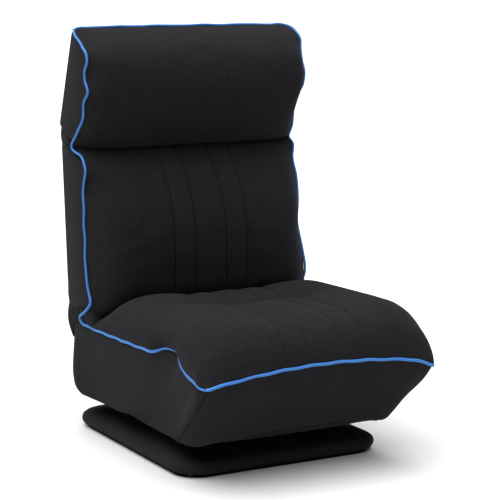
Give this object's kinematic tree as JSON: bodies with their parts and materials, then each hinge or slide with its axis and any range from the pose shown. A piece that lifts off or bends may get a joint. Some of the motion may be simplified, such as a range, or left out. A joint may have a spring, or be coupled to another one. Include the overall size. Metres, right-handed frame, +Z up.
{
  "type": "swivel gaming sofa",
  "caption": "Low one-seat floor sofa: a padded swivel base, a deep seat with a tufted cushion, a reclining back with sewn channels and a tilting headrest, edged with piping.",
  "frame": {"origin": "on the floor, on the swivel axis under the middle of the base", "axes": "+X to the right as seen from the front, +Y to the rear, +Z up; the seat faces -Y"},
  "size_m": [0.57, 0.7321, 0.9267],
  "materials": {
    "upholstery_fabric": "black knitted polyester cover over foam",
    "base_fabric": "black woven polyester cover",
    "piping_twill": "blue bias-cut twill over cord",
    "antislip_cloth": "black non-woven cloth with rubber dots",
    "lining_cloth": "black non-woven dust cover",
    "elastic_webbing": "black elastic webbing",
    "foam": "cream polyurethane foam",
    "plywood": "raw plywood",
    "coated_tube": "black powder coat",
    "zinc_steel": "zinc-plated sheet steel"
  },
  "bodies": {
    "base": {"base_antislip_cloth": "antislip_cloth", "base_board": "plywood", "base_cover": "base_fabric", "base_riser_block": "plywood", "swivel_balls": "zinc_steel", "swivel_lower_plate": "zinc_steel", "swivel_lower_screws": "zinc_steel"},
    "seat": {"recline_pin_left": "zinc_steel", "recline_pin_right": "zinc_steel", "recline_ratchet_left": "zinc_steel", "recline_ratchet_right": "zinc_steel", "seat_board": "plywood", "seat_cross_bar_front": "coated_tube", "seat_cross_bar_rear": "coated_tube", "seat_cushion": "upholstery_fabric", "seat_dust_cover": "lining_cloth", "seat_foam_core": "foam", "seat_frame": "coated_tube", "seat_frame_saddles": "zinc_steel", "seat_hinge_bolts": "zinc_steel", "seat_hinge_leaf_left": "zinc_steel", "seat_hinge_leaf_right": "zinc_steel", "seat_piping": "piping_twill", "seat_skirt": "upholstery_fabric", "swivel_rivet": "zinc_steel", "swivel_upper_plate": "zinc_steel", "swivel_upper_screws": "zinc_steel"},
    "backrest": {"back_cross_bar_lower": "coated_tube", "back_cross_bar_upper": "coated_tube", "back_cushion": "upholstery_fabric", "back_frame": "coated_tube", "back_hinge_bolts": "zinc_steel", "back_hinge_leaf_left": "zinc_steel", "back_hinge_leaf_right": "zinc_steel", "back_piping_left": "piping_twill", "back_piping_right": "piping_twill", "back_rear_panel": "upholstery_fabric", "back_webbing": "elastic_webbing", "neck_hinge_bolts": "zinc_steel", "neck_hinge_leaf_left": "zinc_steel", "neck_hinge_leaf_right": "zinc_steel", "neck_pin_left": "zinc_steel", "neck_pin_right": "zinc_steel", "neck_ratchet_left": "zinc_steel", "neck_ratchet_right": "zinc_steel", "recline_pawl_left": "zinc_steel", "recline_pawl_right": "zinc_steel"},
    "headrest": {"head_hinge_bolts": "zinc_steel", "head_hinge_leaf_left": "zinc_steel", "head_hinge_leaf_right": "zinc_steel", "headrest_cushion": "upholstery_fabric", "headrest_frame": "coated_tube", "headrest_piping": "piping_twill", "headrest_rear_panel": "upholstery_fabric", "neck_pawl_left": "zinc_steel", "neck_pawl_right": "zinc_steel"}
  },
  "joints": [
    {"name": "base_swivel", "type": "hinge", "parent": "base", "child": "seat", "pos_m": [0, 0, 0], "axis": [0, 0, 1], "continuous": true},
    {"name": "back_recline", "type": "hinge", "parent": "seat", "child": "backrest", "pos_m": [0, 0.222, 0.275], "axis": [-1, 0, 0], "range_deg": [-6, 84]},
    {"name": "headrest_tilt", "type": "hinge", "parent": "backrest", "child": "headrest", "pos_m": [0, 0.2506, 0.684], "axis": [1, 0, 0], "range_deg": [-24, 6]}
  ]
}
